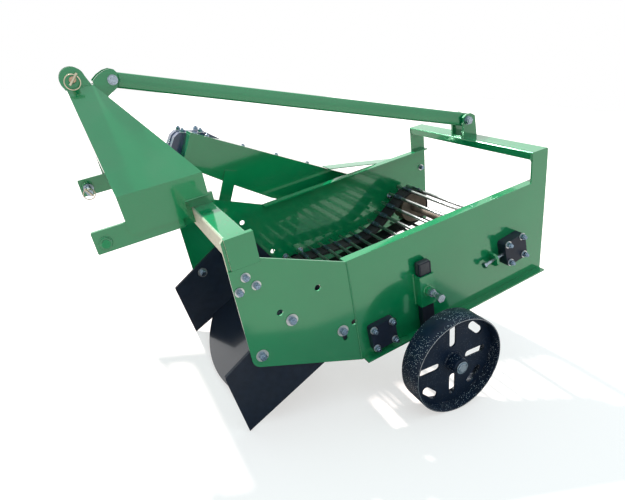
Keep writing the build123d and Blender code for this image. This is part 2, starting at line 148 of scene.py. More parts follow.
def buildDust():
    tree, source, sink = newGroup("dustFilm", [
        ("Scale", "NodeSocketFloat", 9.0), ("Amount", "NodeSocketFloat", 0.3),
        ("Towards", "NodeSocketVector", (0, 0, 1)), ("Elsewhere", "NodeSocketFloat", 0.25),
        ("Bare", "NodeSocketFloat", 0.42), ("Full", "NodeSocketFloat", 0.72)],
        [("Mask", "NodeSocketFloat")])
    value = source.outputs
    patch = ramp(tree, noise(tree, value["Scale"], 6), value["Bare"], value["Full"])
    lie = ramp(tree, facing(tree, value["Towards"]), 0.0, 0.95, value["Elsewhere"], 1.0)
    film = maths(tree, "MULTIPLY", maths(tree, "MULTIPLY", patch, lie), value["Amount"])
    tree.links.new(film, sink.inputs["Mask"])
    return tree


def buildGrain():
    tree, source, sink = newGroup("paintGrain", [
        ("Scale", "NodeSocketFloat", 60.0), ("Spread", "NodeSocketFloat", 0.2),
        ("Base", "NodeSocketColor", (0.5, 0.5, 0.5, 1))], [("Colour", "NodeSocketColor")])
    value = source.outputs
    swing = ramp(tree, noise(tree, value["Scale"], 4), 0.3, 0.7, 0.0, value["Spread"])
    tree.links.new(mixColour(tree, swing, value["Base"], (0, 0, 0, 1)), sink.inputs["Colour"])
    return tree


def buildSpecks():
    tree, source, sink = newGroup("specks", [
        ("Scale", "NodeSocketFloat", 120.0), ("Size", "NodeSocketFloat", 0.1),
        ("Share", "NodeSocketFloat", 0.5), ("Patch Scale", "NodeSocketFloat", 16.0)],
        [("Mask", "NodeSocketFloat")])
    value = source.outputs
    coord = tree.nodes.new("ShaderNodeTexCoord")
    cells = tree.nodes.new("ShaderNodeTexVoronoi")
    tree.links.new(coord.outputs["Object"], cells.inputs["Vector"])
    tree.links.new(value["Scale"], cells.inputs["Scale"])
    spot = maths(tree, "LESS_THAN", cells.outputs["Distance"], value["Size"])
    area = maths(tree, "GREATER_THAN", noise(tree, value["Patch Scale"], 3), value["Share"])
    tree.links.new(maths(tree, "MULTIPLY", spot, area), sink.inputs["Mask"])
    return tree


groups = {"dust": buildDust(), "grain": buildGrain(), "specks": buildSpecks()}


def useGroup(tree, key, values):
    node = tree.nodes.new("ShaderNodeGroup")
    node.node_tree = groups[key]
    for label, value in values.items():
        node.inputs[label].default_value = value
    return node.outputs[0]


# What a finish says where its own row is silent.
plainFinish = {"rough": 0.4, "metal": 0.0, "specular": 0.5, "coat": 0.0, "coatRough": 0.1,
               "grainScale": 60.0, "spread": 0.15, "bump": 0.05, "fine": 900.0,
               "dust": 0.2, "dustColour": (0.3, 0.26, 0.2), "dustScale": 9.0, "towards": (0, 0, 1),
               "elsewhere": 0.25, "patches": (0.42, 0.72), "thick": False,
               "specks": None, "speckPatch": 16.0, "speckColour": (0.6, 0.62, 0.62), "speckClear": None,
               "speckKept": 0.12}


def addSpecks(tree, colour, spec):
    scale, size, share = spec["specks"]
    spots = useGroup(tree, "specks", {"Scale": scale, "Size": size, "Share": share,
                                      "Patch Scale": spec["speckPatch"]})
    if spec["speckClear"]:
        flat = maths(tree, "ABSOLUTE", facing(tree, spec["speckClear"]))
        kept = ramp(tree, flat, 0.5, 0.9, 1.0, spec["speckKept"])
        spots = maths(tree, "MULTIPLY", spots, kept)
    return mixColour(tree, spots, colour, (*spec["speckColour"], 1))


def addFineBump(tree, shader, spec):
    rise = tree.nodes.new("ShaderNodeBump")
    rise.inputs["Strength"].default_value = spec["bump"]
    rise.inputs["Distance"].default_value = 0.001
    tree.links.new(noise(tree, spec["fine"], 2), rise.inputs["Height"])
    tree.links.new(rise.outputs["Normal"], shader.inputs["Normal"])


def makeFinish(name, base, **changes):
    spec = {**plainFinish, **changes}
    material = bpy.data.materials.new(name)
    material.use_nodes = True
    tree = material.node_tree
    shader = tree.nodes["Principled BSDF"]
    colour = useGroup(tree, "grain", {"Scale": spec["grainScale"], "Spread": spec["spread"],
                                      "Base": (*base, 1)})
    film = useGroup(tree, "dust", {"Scale": spec["dustScale"], "Amount": spec["dust"],
                                   "Towards": spec["towards"], "Elsewhere": spec["elsewhere"],
                                   "Bare": spec["patches"][0], "Full": spec["patches"][1]})
    colour = mixColour(tree, film, colour, (*spec["dustColour"], 1))
    if spec["specks"]:
        colour = addSpecks(tree, colour, spec)
    tree.links.new(colour, shader.inputs["Base Color"])
    if spec["thick"]:  # dust this thick hides the clear coat
        tree.links.new(ramp(tree, film, 0.0, 0.7, spec["coat"], 0.0), shader.inputs["Coat Weight"])
    for label, key in (("Metallic", "metal"), ("Specular IOR Level", "specular"), ("Coat Weight", "coat"),
                       ("Coat Roughness", "coatRough")):
        shader.inputs[label].default_value = spec[key]
    dull = min(1, spec["rough"] + 0.5)
    tree.links.new(ramp(tree, film, 0.0, 1.0, spec["rough"], dull), shader.inputs["Roughness"])
    addFineBump(tree, shader, spec)
    return material


# A second finish on what lies more than reach from the middle, across the machine.
def twoTone(material, middle, reach, colour, metal):
    tree = material.node_tree
    shader = tree.nodes["Principled BSDF"]
    split = tree.nodes.new("ShaderNodeSeparateXYZ")
    tree.links.new(tree.nodes.new("ShaderNodeTexCoord").outputs["Object"], split.inputs[0])
    away = maths(tree, "ABSOLUTE", maths(tree, "SUBTRACT", split.outputs["Y"], middle))
    beyond = maths(tree, "GREATER_THAN", away, reach)
    inner = shader.inputs["Base Color"].links[0].from_socket
    tree.links.new(mixColour(tree, beyond, inner, (*colour, 1)), shader.inputs["Base Color"])
    metallic = ramp(tree, beyond, 0.0, 1.0, shader.inputs["Metallic"].default_value, metal)
    tree.links.new(metallic, shader.inputs["Metallic"])
    return material


colours = {"green": (0.002, 0.24, 0.08), "zinc": (0.42, 0.52, 0.6), "axleEnd": (0.42, 0.48, 0.54)}
enamel = {"rough": 0.16, "metal": 0.2, "specular": 0.5, "coat": 1.0, "coatRough": 0.05, "spread": 0.12,
          "grainScale": 5, "bump": 0.02, "fine": 140}
black = {"rough": 0.38, "specular": 0.24, "spread": 0.3, "dust": 0.1}
zinc = {"rough": 0.24, "metal": 1.0, "spread": 0.5, "bump": 0.1, "grainScale": 240, "dust": 0.08}
dusty = {"dust": 0.95, "dustScale": 14, "dustColour": (0.58, 0.53, 0.41), "towards": tuple(way(1, 0, 0)),
         "elsewhere": 0.0, "patches": (0.05, 0.35), "thick": True}
spotted = {"specks": (90, 0.16, 0.5), "speckColour": (0.2, 0.13, 0.08), "speckClear": (0, 1, 0),
           "speckKept": 0.0}
finishes = {
    "green_paint": makeFinish("greenEnamel", colours["green"], **enamel, dust=0.08),
    "beamFace": makeFinish("greenDusty", colours["green"], **enamel, **dusty, **spotted),
    "black_paint": makeFinish("blackEnamel", (0.01, 0.017, 0.032), **black),
    "shareFace": makeFinish("shareEnamel", (0.003, 0.009, 0.02), rough=0.2, specular=0.8, coat=1.0,
                            coatRough=0.07, spread=0.3, dust=0.03, bump=0.03, fine=60),
    "bright_steel": makeFinish("zincPlate", colours["zinc"], **zinc),
    "nutZinc": makeFinish("nutZinc", (0.26, 0.38, 0.5), rough=0.2, metal=1.0, spread=0.6, bump=0.15,
                          grainScale=300, dust=0.05),
    "clipSteel": makeFinish("clipSteel", (0.1, 0.14, 0.21), rough=0.35, metal=1.0, spread=0.5, dust=0.1),
    "paleZinc": makeFinish("paleZinc", (0.62, 0.67, 0.68), rough=0.3, metal=1.0, spread=0.3, bump=0.08,
                           grainScale=220, dust=0.1),
    "goldSteel": makeFinish("yellowPassivate", (0.62, 0.42, 0.3), rough=0.34, metal=1.0, spread=0.4,
                            dust=0.15),
    "clipWire": makeFinish("clipWire", (0.66, 0.6, 0.46), rough=0.32, metal=1.0, spread=0.3, dust=0.1),
    "wornIron": makeFinish("wornIron", (0.13, 0.1, 0.075), rough=0.55, metal=0.7, spread=0.45, dust=0.4,
                           elsewhere=0.7, grainScale=40),
    "wheel_paint": makeFinish("wheelEnamel", (0.004, 0.014, 0.034), **black, specks=(230, 0.21, 0.45),
                              speckClear=(0, 1, 0)),
    "gearbox_paint": makeFinish("gearboxEnamel", (0.022, 0.042, 0.12), rough=0.3, coat=0.8, spread=0.3,
                                dust=0.3, bump=0.3, fine=260),
    "web_steel": makeFinish("rodSteel", (0.72, 0.72, 0.72), rough=0.3, metal=1.0, spread=0.35,
                            grainScale=30, dust=0.2, elsewhere=0.5),
    "beltRubber": makeFinish("beltRubber", (0.008, 0.009, 0.011), rough=0.7, specular=0.2, spread=0.4,
                             dust=0.12, elsewhere=0.6, bump=0.4, fine=500),
    "capPlastic": makeFinish("capPlastic", (0.03, 0.034, 0.04), rough=0.5, spread=0.2, dust=0.2),
    "legPaint": twoTone(makeFinish("legEnamel", (0.006, 0.011, 0.022), **black), stance["shift"][1], 0.4495,
                        colours["axleEnd"], 1.0),
    "pinFace": twoTone(makeFinish("pinSteel", colours["zinc"], **zinc),
                       stance["shift"][1] + body["hitchY"] / 1000, body["barHalf"] / 1000,
                       colours["green"], enamel["metal"]),
}
# The slot of each dressing's finish that isn't a slot by itself.
nodeFinish = {"leg_left": "legPaint", "leg_right": "legPaint", "lower_pin_left": "pinFace",
              "lower_pin_right": "pinFace", "cross_beam": "beamFace", "share": "shareFace",
              "drive_shaft": "wornIron", "front_roller": "wornIron"}
for entry in frame["record"]["subparts"]:
    for slot in nodes[entry["node"]].material_slots:
        slot.material = finishes[nodeFinish.get(entry["node"], entry["material_slot"])]
print("finishes on the nodes")


# Ways of making meshes.
def smooth(mesh, limit=35):
    mesh.shade_smooth()
    mesh.set_sharp_from_angle(angle=radians(limit))
    return mesh


def meshOf(shape, name, limit=35):
    mesh = bpy.data.meshes.new(name)
    shape.to_mesh(mesh)
    shape.free()
    return smooth(mesh, limit)


def closedMesh(shape, name, limit=35):
    bmesh.ops.recalc_face_normals(shape, faces=shape.faces)
    return meshOf(shape, name, limit)


# Quads from ring to ring: looped joins the last ring to the first, closed does so along each ring.
def skin(shape, rings, looped=True, closed=True):
    pairs = list(zip(rings, rings[1:]))
    if looped:
        pairs.append((rings[-1], rings[0]))
    count = len(rings[0])
    for here, after in pairs:
        for j in range(count if closed else count - 1):
            k = (j + 1) % count
            shape.faces.new((here[j], here[k], after[k], after[j]))


def place(name, mesh, finish, bodyName, hides=()):
    if not mesh.materials:  # a grown mesh brings its own
        mesh.materials.append(finishes[finish])
    piece = bpy.data.objects.new(name, mesh)
    scene.collection.objects.link(piece)
    if hides:
        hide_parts(*hides)
    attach(piece, bodyName)
    return piece


# The plain mesh of a draft object, which is removed.
def settle(holder):
    graph = bpy.context.evaluated_depsgraph_get()
    mesh = bpy.data.meshes.new_from_object(holder.evaluated_get(graph))
    bpy.data.objects.remove(holder)
    return mesh


def draft(data):
    holder = bpy.data.objects.new("draft", data)
    scene.collection.objects.link(holder)
    return holder


def fromCurve(curve):
    mesh = settle(draft(curve))
    bpy.data.curves.remove(curve)
    return mesh


def addSpline(curve, points, cyclic):
    spline = curve.splines.new("POLY")
    spline.points.add(len(points) - 1)
    for target, point in zip(spline.points, points):
        target.co = (*point, 1)
    spline.use_cyclic_u = cyclic


def plateMesh(outlines, y0, y1, edge=0.8):
    curve = bpy.data.curves.new("draft", "CURVE")
    curve.dimensions = "2D"
    curve.fill_mode = "BOTH"
    for outline in outlines:
        addSpline(curve, [(u / 1000, v / 1000, 0) for u, v in outline], True)
    curve.extrude = abs(y1 - y0) / 2000 - edge / 1000
    curve.bevel_depth = edge / 1000
    curve.bevel_resolution = 1
    curve.offset = -edge / 1000
    mesh = fromCurve(curve)
    for vertex in mesh.vertices:
        u, v, depth = vertex.co * 1000
        vertex.co = home(u, (y0 + y1) / 2 - depth, v)
    return smooth(mesh)


def wireMesh(points, radius, cyclic=False):
    curve = bpy.data.curves.new("draft", "CURVE")
    curve.dimensions = "3D"
    addSpline(curve, points, cyclic)
    curve.bevel_depth = radius / 1000
    curve.bevel_resolution = 3
    curve.use_fill_caps = not cyclic
    return smooth(fromCurve(curve))


# A profile of (radius, distance along the axis) turned about the axis.
def spinMesh(profile, origin, axis, steps=48, closed=False):
    turned = axis.to_track_quat("Z", "Y").to_matrix()
    rings = []
    shape = bmesh.new()
    for k in range(steps):
        angle = k * 2 * pi / steps
        rings.append([shape.verts.new(origin + turned @ Vector((r * cos(angle), r * sin(angle), t)) / 1000)
                      for r, t in profile])
    skin(shape, rings, closed=closed)
    bmesh.ops.remove_doubles(shape, verts=shape.verts, dist=1e-6)
    return closedMesh(shape, "spun")


def outward(profile, side):
    return [(radius, side * t) for radius, t in profile]


def boxMesh(u0, u1, y0, y1, v0, v1, edge=1.0, segments=2):
    shape = bmesh.new()
    bmesh.ops.create_cube(shape, size=1)
    for vertex in shape.verts:
        x, y, z = vertex.co
        vertex.co = home((u0 + u1) / 2 + x * (u1 - u0), (y0 + y1) / 2 + y * (y1 - y0),
                         (v0 + v1) / 2 + z * (v1 - v0))
    bmesh.ops.bevel(shape, geom=shape.edges[:], offset=edge / 1000, segments=segments, affect="EDGES",
                    profile=0.5)
    return closedMesh(shape, "box")


def joined(meshes):
    shape = bmesh.new()
    for mesh in meshes:
        shape.from_mesh(mesh)
        bpy.data.meshes.remove(mesh)
    return meshOf(shape, "joined")


# Geometry Nodes: bolts on points, rods and clips on the web's line, weld beads along seams.
def newTree(name, sockets):
    tree = bpy.data.node_groups.new(name, "GeometryNodeTree")
    tree.interface.new_socket(name="Geometry", in_out="INPUT", socket_type="NodeSocketGeometry")
    for label, kind in sockets:
        tree.interface.new_socket(name=label, in_out="INPUT", socket_type=kind)
    tree.interface.new_socket(name="Geometry", in_out="OUTPUT", socket_type="NodeSocketGeometry")
    return tree, tree.nodes.new("NodeGroupInput"), tree.nodes.new("NodeGroupOutput")


def add(tree, kind, links=(), **settings):
    node = tree.nodes.new(kind)
    for key, value in settings.items():
        setattr(node, key, value)
    for label, value in links:
        feed(tree, value, node.inputs[label])
    return node


def lift(tree, geometry, height):
    shift = add(tree, "ShaderNodeCombineXYZ", [("Z", height)]).outputs[0]
    return add(tree, "GeometryNodeTransform", [("Geometry", geometry), ("Translation", shift)]).outputs[0]


def joinAll(tree, parts):
    whole = tree.nodes.new("GeometryNodeJoinGeometry")
    for geometry in parts:
        tree.links.new(geometry, whole.inputs[0])
    return whole.outputs[0]


def drum(tree, sides, radius, depth):
    node = add(tree, "GeometryNodeMeshCylinder", [("Vertices", sides), ("Radius", radius), ("Depth", depth)])
    rounded = [("Geometry", node.outputs["Mesh"]), ("Selection", node.outputs["Side"]),
               ("Shade Smooth", sides > 8)]
    return add(tree, "GeometryNodeSetShadeSmooth", rounded).outputs[0]


def cone(tree, sides, radius, top, depth):
    return add(tree, "GeometryNodeMeshCone", [("Vertices", sides), ("Radius Bottom", radius),
                                              ("Radius Top", top), ("Depth", depth)]).outputs["Mesh"]


def turnTo(tree, pivot="AUTO"):
    towards = add(tree, "GeometryNodeInputNamedAttribute", [("Name", "facing")], data_type="FLOAT_VECTOR")
    return add(tree, "FunctionNodeAlignRotationToVector", [("Vector", towards.outputs["Attribute"])],
               axis="Z", pivot_axis=pivot).outputs[0]


def coat(tree, geometry, finish):
    return add(tree, "GeometryNodeSetMaterial", [("Geometry", geometry), ("Material", finish)]).outputs[0]


def realize(tree, instances):
    return add(tree, "GeometryNodeRealizeInstances", [("Geometry", instances)]).outputs[0]


def buildBolts():
    tree, source, sink = newTree("boltsOnPoints", [
        ("Head Radius", "NodeSocketFloat"), ("Head Height", "NodeSocketFloat"),
        ("Washer Radius", "NodeSocketFloat"), ("Washer Thickness", "NodeSocketFloat"),
        ("Tail Radius", "NodeSocketFloat"), ("Tail Length", "NodeSocketFloat"), ("Seed", "NodeSocketInt"),
        ("Finish", "NodeSocketMaterial"), ("Washer Finish", "NodeSocketMaterial")])
    value = source.outputs
    headRadius, headHeight, thick = value["Head Radius"], value["Head Height"], value["Washer Thickness"]
    middle = maths(tree, "MULTIPLY", thick, 0.5)
    washer = lift(tree, drum(tree, 28, value["Washer Radius"], thick), middle)
    half = maths(tree, "MULTIPLY", headHeight, 0.5)
    head = lift(tree, drum(tree, 6, headRadius, headHeight), maths(tree, "ADD", thick, half))
    crownTop = maths(tree, "MULTIPLY", headRadius, 0.86)
    crownHeight = maths(tree, "MULTIPLY", headHeight, 0.16)
    crown = cone(tree, 6, headRadius, crownTop, crownHeight)
    crown = lift(tree, crown, maths(tree, "ADD", thick, headHeight))
    tall = maths(tree, "ADD", headHeight, value["Tail Length"])
    tail = lift(tree, drum(tree, 16, value["Tail Radius"], tall),
                maths(tree, "ADD", thick, maths(tree, "MULTIPLY", tall, 0.5)))
    steel = joinAll(tree, (head, crown, tail))
    spin = add(tree, "FunctionNodeRandomValue", [("Seed", value["Seed"])], data_type="FLOAT")
    spin.inputs[3].default_value = pi / 3  # the most that a hexagon can turn
    euler = add(tree, "ShaderNodeCombineXYZ", [("Z", spin.outputs[1])])
    turned = add(tree, "FunctionNodeRotateRotation", [("Rotation", turnTo(tree)),
                                                      ("Rotate By", euler.outputs[0])],
                 rotation_space="LOCAL")
    parts = []
    for geometry, finish in ((steel, value["Finish"]), (washer, value["Washer Finish"])):
        spread = add(tree, "GeometryNodeInstanceOnPoints", [("Points", value["Geometry"]),
                                                            ("Instance", geometry),
                                                            ("Rotation", turned.outputs[0])])
        parts.append(coat(tree, realize(tree, spread.outputs[0]), finish))
    tree.links.new(joinAll(tree, parts), sink.inputs[0])
    return tree


def buildRods():
    tree, source, sink = newTree("rodsOnLine", [
        ("Rod Radius", "NodeSocketFloat"), ("Rod Length", "NodeSocketFloat"),
        ("Finish", "NodeSocketMaterial")])
    value = source.outputs
    rod = drum(tree, 20, value["Rod Radius"], value["Rod Length"])
    lying = add(tree, "GeometryNodeTransform", [("Geometry", rod), ("Rotation", (pi / 2, 0, 0))])
    spread = add(tree, "GeometryNodeInstanceOnPoints", [("Points", value["Geometry"]),
                                                        ("Instance", lying.outputs[0])])
    tree.links.new(coat(tree, realize(tree, spread.outputs[0]), value["Finish"]), sink.inputs[0])
    return tree


def buildClips():
    tree, source, sink = newTree("clipsOnLine", [
        ("Clip Size", "NodeSocketVector"), ("Rivet Radius", "NodeSocketFloat"),
        ("Rivet Gap", "NodeSocketFloat"), ("Finish", "NodeSocketMaterial")])
    value = source.outputs
    strip = add(tree, "GeometryNodeMeshCube", [("Size", value["Clip Size"])])
    parts = [strip.outputs[0]]
    for side in (0.5, -0.5):
        head = add(tree, "GeometryNodeMeshUVSphere", [("Segments", 12), ("Rings", 6),
                                                      ("Radius", value["Rivet Radius"])])
        away = add(tree, "ShaderNodeCombineXYZ", [("Y", maths(tree, "MULTIPLY", value["Rivet Gap"], side))])
        parts.append(add(tree, "GeometryNodeTransform", [("Geometry", head.outputs[0]),
                                                         ("Translation", away.outputs[0])]).outputs[0])
    spread = add(tree, "GeometryNodeInstanceOnPoints", [("Points", value["Geometry"]),
                                                        ("Instance", joinAll(tree, parts)),
                                                        ("Rotation", turnTo(tree, "Y"))])
    tree.links.new(coat(tree, realize(tree, spread.outputs[0]), value["Finish"]), sink.inputs[0])
    return tree


def buildBeads():
    tree, source, sink = newTree("beadsOnSeam", [
        ("Bead Radius", "NodeSocketFloat"), ("Spacing", "NodeSocketFloat"), ("Seed", "NodeSocketInt"),
        ("Finish", "NodeSocketMaterial")])
    value = source.outputs
    line = add(tree, "GeometryNodeMeshToCurve", [("Mesh", value["Geometry"])])
    steps = add(tree, "GeometryNodeResampleCurve", [("Curve", line.outputs[0]), ("Length", value["Spacing"])],
                mode="LENGTH")
    points = add(tree, "GeometryNodeCurveToPoints", [("Curve", steps.outputs[0])], mode="EVALUATED")
    ball = add(tree, "GeometryNodeMeshIcoSphere", [("Radius", value["Bead Radius"]), ("Subdivisions", 2)])
    soft = add(tree, "GeometryNodeSetShadeSmooth", [("Geometry", ball.outputs[0])])
    size = add(tree, "FunctionNodeRandomValue", [("Seed", value["Seed"])], data_type="FLOAT")
    size.inputs[2].default_value = 0.8
    size.inputs[3].default_value = 1.1
    spread = add(tree, "GeometryNodeInstanceOnPoints", [("Points", points.outputs[0]),
                                                        ("Instance", soft.outputs[0]),
                                                        ("Scale", size.outputs[1])])
    tree.links.new(coat(tree, realize(tree, spread.outputs[0]), value["Finish"]), sink.inputs[0])
    return tree


trees = {"bolts": buildBolts(), "rods": buildRods(), "clips": buildClips(), "beads": buildBeads()}


def grow(name, source, key, values, finish, bodyName, hides=()):
    holder = draft(source)
    change = holder.modifiers.new("grow", "NODES")
    change.node_group = trees[key]
    values = {**values, "Finish": finishes[finish], "Washer Finish": finishes["paleZinc"]}
    for item in trees[key].interface.items_tree:
        if item.in_out == "INPUT" and item.name in values:
            change[item.identifier] = values[item.name]
    return place(name, settle(holder), finish, bodyName, hides)


# Points that each carry the way their piece faces.
def pointMesh(rows):
    mesh = bpy.data.meshes.new("points")
    mesh.from_pydata([spot for spot, direction in rows], [], [])
    mesh.attributes.new("facing", "FLOAT_VECTOR", "POINT")
    mesh.attributes["facing"].data.foreach_set("vector", [n for spot, direction in rows for n in direction])
    return mesh


def seamMesh(lines):
    spots, edges = [], []
    for line in lines:
        edges += [(len(spots) + k, len(spots) + k + 1) for k in range(len(line) - 1)]
        spots += line
    mesh = bpy.data.meshes.new("seams")
    mesh.from_pydata(spots, edges, [])
    return mesh


# Rod web: two belts round the drive and front wheels, a rod and two riveted clips at each step.
web = {"drive": (-825, -304), "front": (-337.5, -395.5), "driveRadius": 58, "frontRadius": 38, "belt": 8,
       "beltIn": 180, "beltOut": 240, "rodHalf": 270, "rodRadius": 6.0, "rodGap": 1, "pitch": 45,
       "lead": 11.3, "slope": radians(34.4), "sag": 200, "sagEnd": radians(2),
       "clip": (0.016, 0.044, 0.003), "clipLift": 4.6, "rivet": 0.0042, "rivetGap": 0.03}


# The web's run at a height over the wheels: over the drive wheel, down the slope, round the sag, forward,
# round the front wheel and back underneath.
def webStretches(off):
    rd, rf = web["driveRadius"] + off, web["frontRadius"] + off
    drive, front, slope, sagEnd = web["drive"], web["front"], web["slope"], web["sagEnd"]
    lead = pi / 2 - slope
    span = hypot(drive[0] - front[0], drive[1] - front[1])
    under = atan2(drive[1] - front[1], drive[0] - front[0])
    under += acos((web["frontRadius"] - web["driveRadius"]) / span)
    start = bend(drive, web["driveRadius"], lead)
    gap = (-sin(sagEnd) * (front[0] - start[0]) + cos(sagEnd) * (front[1] - start[1]) + web["frontRadius"]
           - web["sag"] * (cos(slope + sagEnd) - 1))
    knee = bend(start, gap / -sin(slope + sagEnd), -slope)
    centre = bend(knee, web["sag"], lead)
    sagRadius = web["sag"] - off
    return [("arc", drive, rd, under, lead),
            ("line", bend(drive, rd, lead), bend(centre, sagRadius, lead + pi)),
            ("arc", centre, sagRadius, lead + pi, 3 * pi / 2 + sagEnd),
            ("line", bend(centre, sagRadius, -pi / 2 + sagEnd), bend(front, rf, pi / 2 + sagEnd)),
            ("arc", front, rf, pi / 2 + sagEnd, under - 2 * pi),
            ("line", bend(front, rf, under), bend(drive, rd, under))]


def stretchLong(stretch):
    if stretch[0] == "arc":
        return stretch[2] * abs(stretch[4] - stretch[3])
    return hypot(stretch[2][0] - stretch[1][0], stretch[2][1] - stretch[1][1])


def runLong(stretches):
    return sum(stretchLong(stretch) for stretch in stretches)


# The spot at a distance along the run, and the way out of the loop there.
def webSpot(stretches, distance):
    distance %= runLong(stretches)
    for stretch in stretches:
        long = stretchLong(stretch)
        if distance <= long:
            break
        distance -= long
    if stretch[0] == "arc":
        kind, centre, radius, start, end = stretch
        angle = start + (end - start) * (distance / long)
        side = 1 if end < start else -1
        return bend(centre, radius, angle), (side * cos(angle), side * sin(angle))
    kind, start, end = stretch
    du, dv = (end[0] - start[0]) / long, (end[1] - start[1]) / long
    return (start[0] + du * distance, start[1] + dv * distance), (-dv, du)


def beltMesh(y0, y1, steps=240):
    shape = bmesh.new()
    run = webStretches(0)
    rings = []
    for k in range(steps):
        (u, v), (nu, nv) = webSpot(run, k * runLong(run) / steps)
        farU, farV = u + nu * web["belt"], v + nv * web["belt"]
        corners = ((u, y0, v), (farU, y0, farV), (farU, y1, farV), (u, y1, v))
        rings.append([shape.verts.new(home(*corner)) for corner in corners])
    skin(shape, rings)
    return closedMesh(shape, "belt")


def dressWeb():
    belts = joined([beltMesh(s * web["beltIn"], s * web["beltOut"]) for s in (1, -1)])
    place("webBelts", belts, "beltRubber", "frame", ["rod_web"])
    run = webStretches(web["belt"] + web["rodGap"])
    count = round(runLong(run) / web["pitch"])
    first = stretchLong(run[0]) + web["lead"]
    spots = [webSpot(run, first + k * runLong(run) / count) for k in range(count)]
    rods = pointMesh([(home(u, 0, v), (0, 1, 0)) for (u, v), outOfLoop in spots])
    rodSize = {"Rod Radius": web["rodRadius"] / 1000, "Rod Length": 2 * web["rodHalf"] / 1000}
    grow("webRods", rods, "rods", rodSize, "web_steel", "frame", ["rod_web"])
    clipRows = []
    for (u, v), (nu, nv) in spots:
        for side in (1, -1):
            y = side * (web["beltIn"] + web["beltOut"]) / 2
            clipRows.append((home(u + nu * web["clipLift"], y, v + nv * web["clipLift"]), way(nu, 0, nv)))
    clipSize = {"Clip Size": web["clip"], "Rivet Radius": web["rivet"], "Rivet Gap": web["rivetGap"]}
    grow("webClips", pointMesh(clipRows), "clips", clipSize, "clipSteel", "frame")
    print("web dressed:", count, "rods")


dressWeb()

# Wheels: a rolled rim, a slotted disc and a hub, with weld beads between them. A slot says how far from
# the hub its middle lies, how long and how wide it is. The nut and washer are profiles of (radius, y).
wheel = {"hub": (-496, -511), "radius": 150, "wall": 6, "rimIn": 372, "rimOut": 446, "disc": (406, 412),
         "hubRadius": 25, "axle": 12.55, "spoke": (83, 72, 22), "edgeSlot": (115, 62, 24),
         "turn": radians(4.5), "hubWeld": 1.5, "rimWeld": 1,
         "stitches": 8, "stitchFirst": 0.2, "stitchStep": 0.03, "stitchPoints": 6,
         "nut": [(12.2, 453.8), (16.2, 453.8), (16.2, 456.1), (15, 456.9), (12.2, 456.9)],
         "washer": [(10, 449.3), (19.6, 449.3), (19.6, 453.6), (19, 454.2), (10, 454.2)],
         "paintedRimHighlight": {"in": 0.3, "down": 2.4, "radius": 0.55}}
innerRadius = wheel["radius"] - wheel["wall"]


def wheelMesh(s, origin):
    r, inner, hubRadius, axle = wheel["radius"], innerRadius, wheel["hubRadius"], wheel["axle"]
    a, b = wheel["rimIn"], wheel["rimOut"]
    # rolled over on the outside, chamfered on the inside
    band = [(r, a + 2), (r, b - 2), (r - 1, b - 0.4), (r - 2.4, b), (inner + 1, b), (inner, b - 1),
            (inner, a + 1), (inner + 1, a), (r - 2.4, a), (r - 1, a + 0.4)]
    tube = [(axle, a - 4), (hubRadius - 1, a - 4), (hubRadius, a - 3), (hubRadius, b + 2),
            (hubRadius - 1, b + 3), (axle, b + 3)]
    outlines = [circle(wheel["hub"], inner + 1, 96), circle(wheel["hub"], hubRadius - 2, 32)]
    for k in range(4):
        turn = wheel["turn"] + k * pi / 2
        for (reach, long, wide), lean in ((wheel["spoke"], 0), (wheel["edgeSlot"], pi / 4)):
            outlines.append(capsule(bend(wheel["hub"], reach, turn + lean), long, wide, turn + lean * 3))
    return joined([spinMesh(outward(band, s), origin, across, 120, True),
                   spinMesh(outward(tube, s), origin, across, 48, True),
                   plateMesh(outlines, s * wheel["disc"][0], s * wheel["disc"][1], 0.6)])


def wheelSeams(s):
    seams = []
    for y in wheel["disc"]:
        seams.append(ringAt(s * y, wheel["hub"], wheel["hubRadius"] + wheel["hubWeld"], 60))
        for k in range(wheel["stitches"]):
            start = k * 2 * pi / wheel["stitches"] + wheel["stitchFirst"]
            angles = [start + j * wheel["stitchStep"] for j in range(wheel["stitchPoints"])]
            reach = innerRadius - wheel["rimWeld"]
            seams.append(lineAt(s * y, [bend(wheel["hub"], reach, angle) for angle in angles]))
    return seams


for name, s in sides:
    origin = home(wheel["hub"][0], 0, wheel["hub"][1])
    place(f"wheelLook_{name}", wheelMesh(s, origin), "wheel_paint", f"wheel_{name}", [f"wheel_{name}"])
    grow(f"wheelWelds_{name}", seamMesh(wheelSeams(s)), "beads",
         {"Bead Radius": 0.0032, "Spacing": 0.0022, "Seed": 5}, "wheel_paint", f"wheel_{name}")
    axleNut = joined([spinMesh(outward(wheel["nut"], s), origin, across, 6, True),
                      spinMesh(outward(wheel["washer"], s), origin, across, 40, True)])
    place(f"axleNut_{name}", axleNut, "bright_steel", f"leg_{name}")
    # A thin pale steel ring along the rim's outer edge is a painted highlight: it stands in for the light
    # that the rolled edge catches.
    glint = wheel["paintedRimHighlight"]
    glintRing = circle(wheel["hub"], wheel["radius"] - glint["down"], 120)
    glintWire = wireMesh(lineAt(s * (wheel["rimOut"] - glint["in"]), glintRing), glint["radius"], True)
    place(f"rimHighlight_{name}", glintWire, "paleZinc", f"wheel_{name}")
print("wheels dressed")

# Legs: a plastic cap over the top of each tube.
leg = {"u": -490, "half": (20, 10), "y": 315, "top": -221, "clampV": -308, "sleeve": (-357, -260),
       "sleeveHalf": 24.6}
legCap = {"fit": 0.15, "low": -262, "over": 3, "edge": 6, "segments": 3}
for name, s in sides:
    halfU, halfY = (half + legCap["fit"] for half in leg["half"])
    near, far = sorted((s * (leg["y"] - halfY), s * (leg["y"] + halfY)))
    cap = boxMesh(leg["u"] - halfU, leg["u"] + halfU, near, far, legCap["low"], leg["top"] + legCap["over"],
                  legCap["edge"], legCap["segments"])
    place(f"legCap_{name}", cap, "capPlastic", f"leg_{name}")

